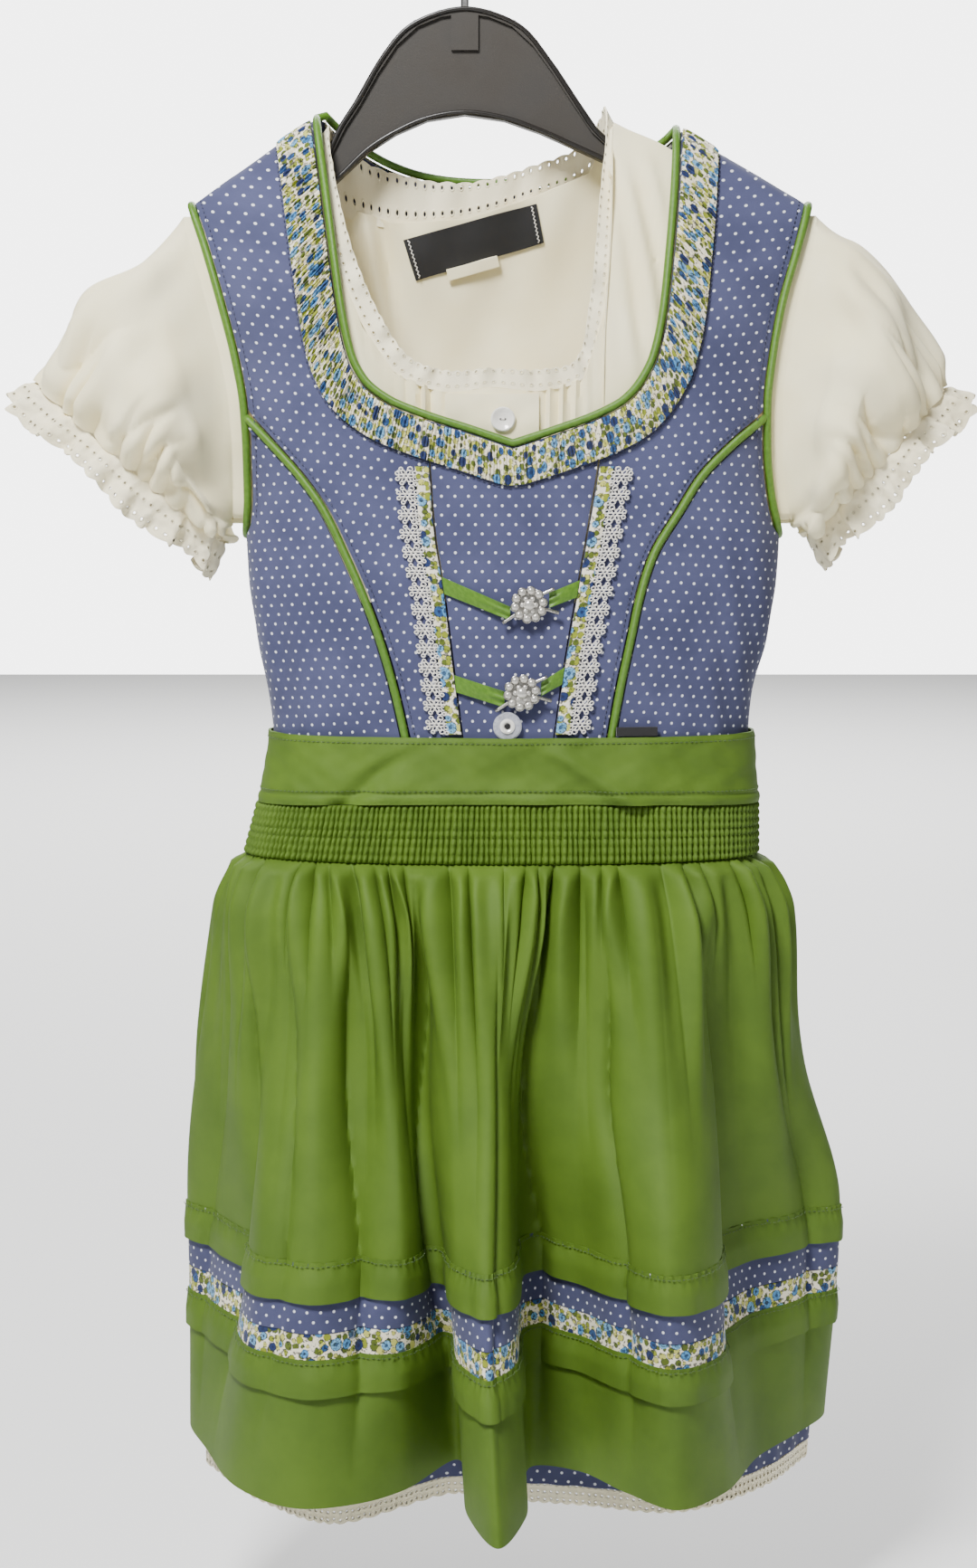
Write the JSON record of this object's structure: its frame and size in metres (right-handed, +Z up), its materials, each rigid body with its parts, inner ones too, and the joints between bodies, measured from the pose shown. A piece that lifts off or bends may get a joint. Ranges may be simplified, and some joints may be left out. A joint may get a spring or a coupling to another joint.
{
  "type": "dirndl on a hanger",
  "caption": "Child's dirndl on a hanger: piped bodice with a ruffled neckline, puff-sleeved blouse, shirred apron with banded hem over a gathered skirt.",
  "frame": {"origin": "the point where the inside of the hanger's hook bears on its rail", "axes": "+Z up, from hem to hook; the front of the dress faces -Y; +X to the viewer's right"},
  "size_m": [0.4339, 0.225, 0.7255],
  "materials": {
    "hanger": "matt dark grey moulded plastic",
    "hook_wire": "polished steel wire",
    "blouse": "thin cream cotton voile",
    "lace": "off-white woven lace",
    "label": "blank black woven label",
    "button": "pearly white button",
    "dotted": "dusty blue cotton with small white dots",
    "piping": "bright green satin",
    "floral": "cream cotton with a blue, navy and olive flower print",
    "clasp": "silver filigree with small beads",
    "apron": "olive green cotton with a slight sheen"
  },
  "bodies": {
    "root": {"hanger_body": "hanger", "hanger_hook": "hook_wire", "blouse_front": "blouse", "blouse_back": "blouse", "blouse_placket": "blouse", "blouse_button": "button", "blouse_sleeve_left": "blouse", "blouse_sleeve_right": "blouse", "blouse_cuff_frill_left": "lace", "blouse_cuff_frill_right": "lace", "blouse_neck_frill": "lace", "neck_label": "label", "care_label": "blouse", "waist_label": "label", "bodice_centre": "dotted", "bodice_front_left": "dotted", "bodice_front_right": "dotted", "bodice_side_left": "dotted", "bodice_side_right": "dotted", "bodice_back": "dotted", "bodice_button": "button", "neck_piping": "piping", "armhole_piping_left": "piping", "armhole_piping_right": "piping", "princess_piping_left": "piping", "princess_piping_right": "piping", "neck_ruffle_front": "floral", "neck_ruffle_back": "floral", "floral_strip_left": "floral", "floral_strip_right": "floral", "lace_strip_left": "lace", "lace_strip_right": "lace", "ribbon_upper_left": "piping", "ribbon_upper_right": "piping", "ribbon_lower_left": "piping", "ribbon_lower_right": "piping", "clasp_upper": "clasp", "clasp_lower": "clasp", "skirt_front": "dotted", "skirt_back": "dotted", "skirt_hem_lace": "lace", "apron_waistband": "apron", "apron_shirring": "apron", "apron_panel": "apron", "apron_tuck_upper": "apron", "apron_band_dotted": "dotted", "apron_band_floral": "floral", "apron_tuck_lower": "apron", "apron_hem_panel": "apron", "apron_tie_left": "apron", "apron_tie_right": "apron", "apron_bow": "apron"}
  },
  "joints": []
}
